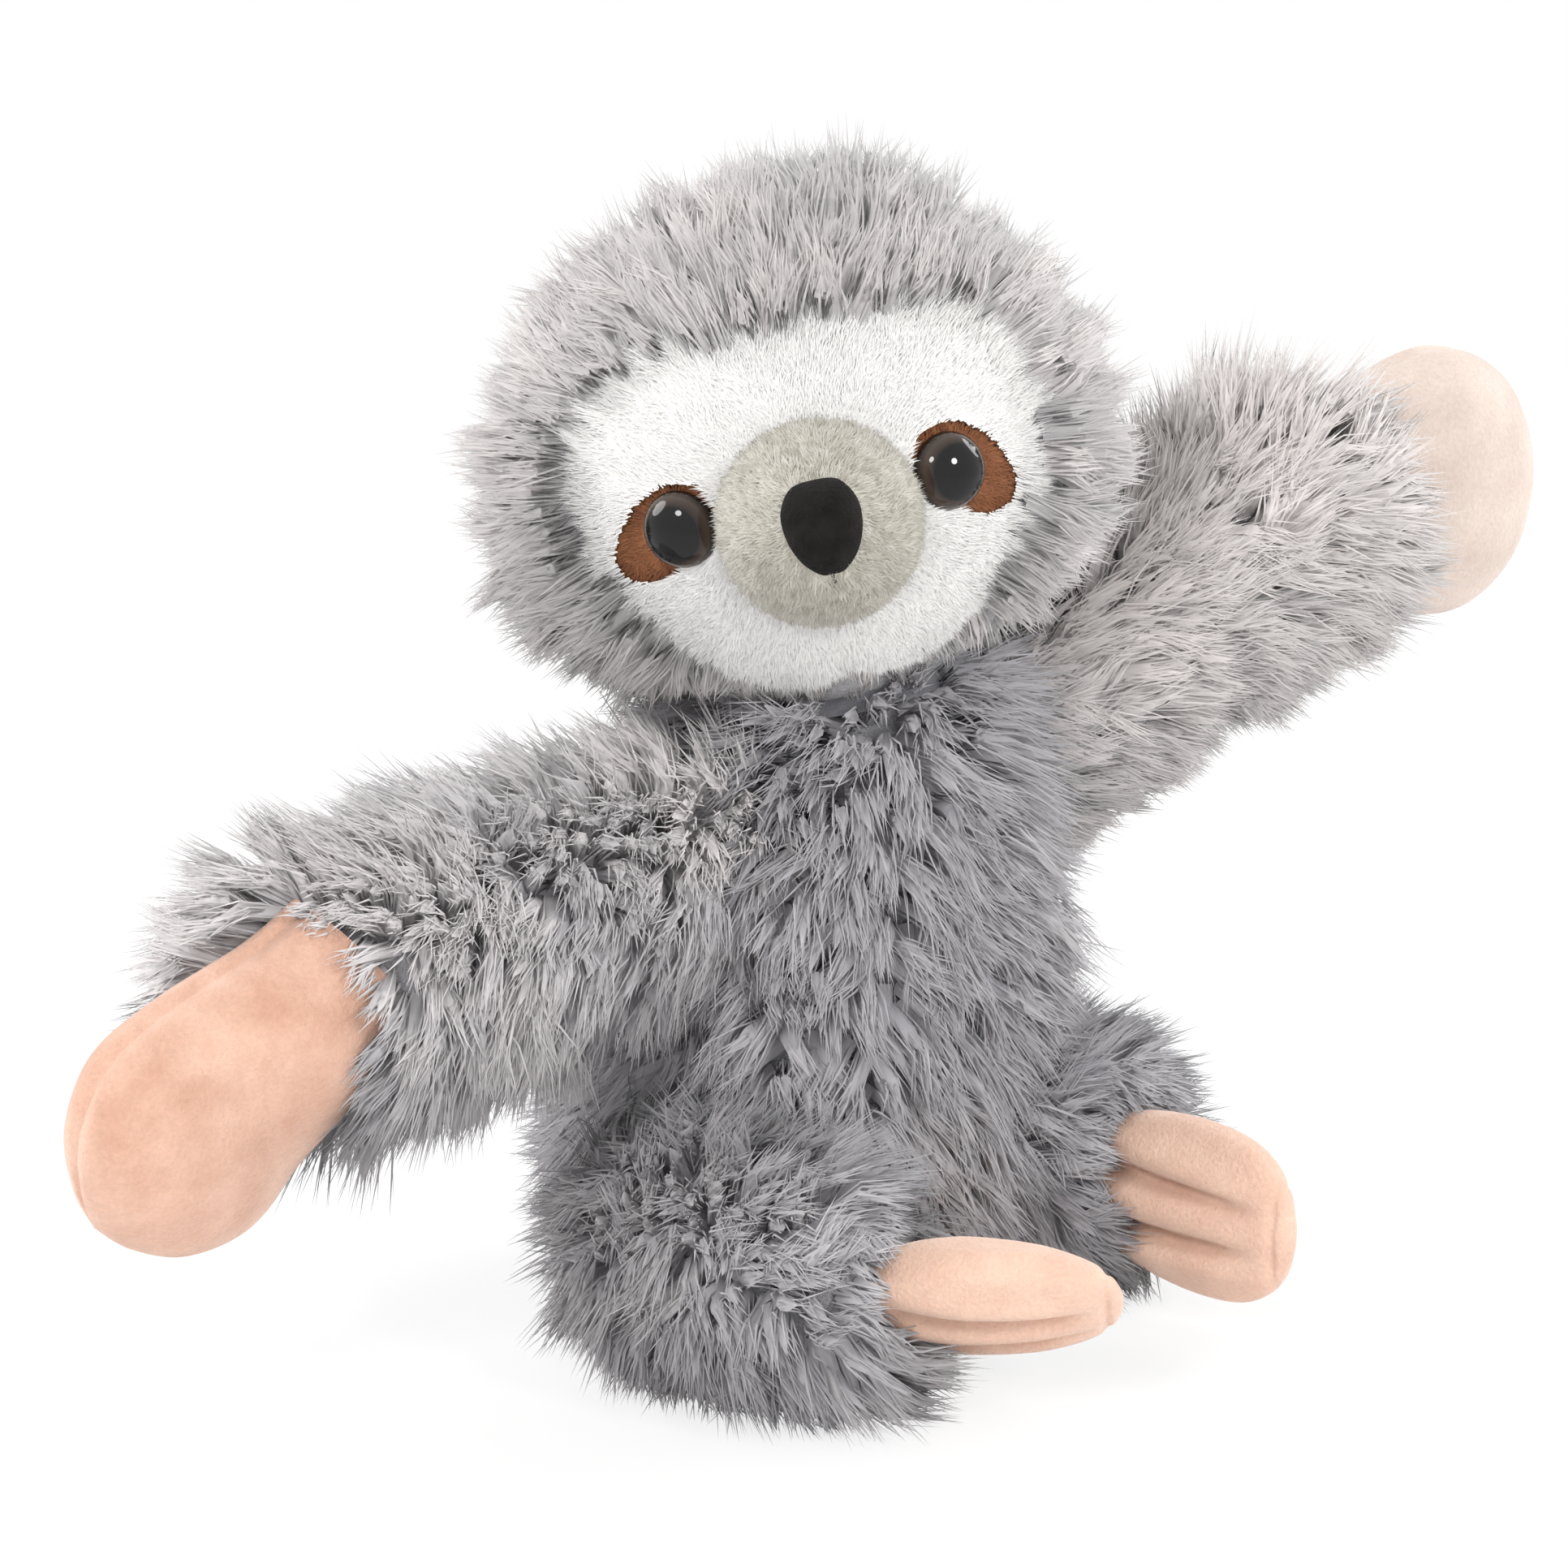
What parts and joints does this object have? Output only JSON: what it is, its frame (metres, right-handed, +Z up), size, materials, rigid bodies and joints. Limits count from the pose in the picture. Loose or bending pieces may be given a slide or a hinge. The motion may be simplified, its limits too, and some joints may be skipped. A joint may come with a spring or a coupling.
{
  "type": "plush sloth",
  "caption": "Seated plush sloth with long fur, a short-pile face, arms held out for a hug, mitten hands, three-toed feet and spring bands inside the arms.",
  "frame": {"origin": "middle of the flat seat, on the surface that the toy sits on", "axes": "+Z up, the face looks along -Y, the toy's left arm is on the +X side"},
  "size_m": [0.2362, 0.1541, 0.1847],
  "materials": {
    "grey_fur": "long soft pile",
    "white_plush": "short soft pile",
    "pale_velour": "velour",
    "peach_velour": "velour",
    "brown_velour": "velour",
    "black_velour": "velour",
    "eye_plastic": "gloss",
    "washer_plastic": "matte",
    "fibre_fill": "loose fibre",
    "calico": "plain weave",
    "spring_steel": "brushed",
    "grey_thread": "thread"
  },
  "bodies": {
    "torso": {"torso_skin": "grey_fur", "torso_stuffing": "fibre_fill", "pellet_bag": "calico"},
    "neck_seam": {"neck_thread": "grey_thread"},
    "head": {"head_skin": "grey_fur", "head_stuffing": "fibre_fill", "face_panel": "white_plush", "muzzle": "pale_velour", "nose": "black_velour", "left_eye_patch": "brown_velour", "left_eye": "eye_plastic", "left_eye_washer": "washer_plastic", "right_eye_patch": "brown_velour", "right_eye": "eye_plastic", "right_eye_washer": "washer_plastic"},
    "right_upper_arm": {"right_upper_arm_skin": "grey_fur", "right_upper_arm_stuffing": "fibre_fill", "right_snap_band": "spring_steel", "right_band_sleeve": "calico"},
    "right_forearm": {"right_forearm_skin": "grey_fur", "right_forearm_stuffing": "fibre_fill"},
    "right_hand": {"right_palm": "peach_velour", "right_hand_back": "peach_velour", "right_hand_stuffing": "fibre_fill"},
    "right_leg": {"right_leg_skin": "grey_fur", "right_leg_stuffing": "fibre_fill"},
    "right_foot": {"right_foot_top": "peach_velour", "right_foot_sole": "peach_velour", "right_foot_stuffing": "fibre_fill"},
    "left_upper_arm": {"left_upper_arm_skin": "grey_fur", "left_upper_arm_stuffing": "fibre_fill", "left_snap_band": "spring_steel", "left_band_sleeve": "calico"},
    "left_forearm": {"left_forearm_skin": "grey_fur", "left_forearm_stuffing": "fibre_fill"},
    "left_hand": {"left_palm": "peach_velour", "left_hand_back": "peach_velour", "left_hand_stuffing": "fibre_fill"},
    "left_leg": {"left_leg_skin": "grey_fur", "left_leg_stuffing": "fibre_fill"},
    "left_foot": {"left_foot_top": "peach_velour", "left_foot_sole": "peach_velour", "left_foot_stuffing": "fibre_fill"}
  },
  "joints": [
    {"name": "head_nod", "type": "hinge", "parent": "torso", "child": "neck_seam", "pos_m": [0.0116, -0.003, 0.099], "axis": [0.9768, 0.0523, 0.2076], "range_deg": [-14, 18]},
    {"name": "head_turn", "type": "hinge", "parent": "neck_seam", "child": "head", "pos_m": [0.0116, -0.003, 0.099], "axis": [-0.2079, 0, 0.9781], "range_deg": [-30, 30]},
    {"name": "right_shoulder_raise", "type": "hinge", "parent": "torso", "child": "right_upper_arm", "pos_m": [-0.01434, -0.01761, 0.078], "axis": [-0.5446, 0.8387, 0], "range_deg": [-15, 28]},
    {"name": "right_elbow_curl", "type": "hinge", "parent": "right_upper_arm", "child": "right_forearm", "pos_m": [-0.04573, -0.038, 0.0714], "axis": [-0.1456, -0.0946, 0.9848], "range_deg": [0, 50], "deforming": ["right_snap_band", "right_band_sleeve"]},
    {"name": "right_wrist_curl", "type": "hinge", "parent": "right_forearm", "child": "right_hand", "pos_m": [-0.07464, -0.05677, 0.06532], "axis": [-0.1456, -0.0946, 0.9848], "range_deg": [0, 40]},
    {"name": "right_hip_swing", "type": "hinge", "parent": "torso", "child": "right_leg", "pos_m": [-0.016, -0.026, 0.0186], "axis": [0, 0, -1], "range_deg": [-4, 24]},
    {"name": "right_ankle_flex", "type": "hinge", "parent": "right_leg", "child": "right_foot", "pos_m": [0.01672, -0.05651, 0.0186], "axis": [-0.0824, -0.7837, 0.6157], "range_deg": [-14, 14]},
    {"name": "left_shoulder_raise", "type": "hinge", "parent": "torso", "child": "left_upper_arm", "pos_m": [0.03433, 0.01139, 0.086], "axis": [0.5, -0.866, 0], "range_deg": [-45, 14]},
    {"name": "left_elbow_curl", "type": "hinge", "parent": "left_upper_arm", "child": "left_forearm", "pos_m": [0.06223, 0.02751, 0.10614], "axis": [0.4589, 0.265, -0.848], "range_deg": [0, 50], "deforming": ["left_snap_band", "left_band_sleeve"]},
    {"name": "left_wrist_curl", "type": "hinge", "parent": "left_forearm", "child": "left_hand", "pos_m": [0.08794, 0.04235, 0.12468], "axis": [0.4589, 0.265, -0.848], "range_deg": [0, 40]},
    {"name": "left_hip_swing", "type": "hinge", "parent": "torso", "child": "left_leg", "pos_m": [0.0296, 0.005, 0.024], "axis": [0, 0, 1], "range_deg": [-4, 24]},
    {"name": "left_ankle_flex", "type": "hinge", "parent": "left_leg", "child": "left_foot", "pos_m": [0.05422, -0.00495, 0.021], "axis": [-0.0008, -0.1358, 0.9907], "range_deg": [-14, 14]}
  ],
  "couplings": [
    {"joint": "right_wrist_curl", "follows": "right_elbow_curl", "ratio": 0.8},
    {"joint": "left_wrist_curl", "follows": "left_elbow_curl", "ratio": 0.8}
  ]
}
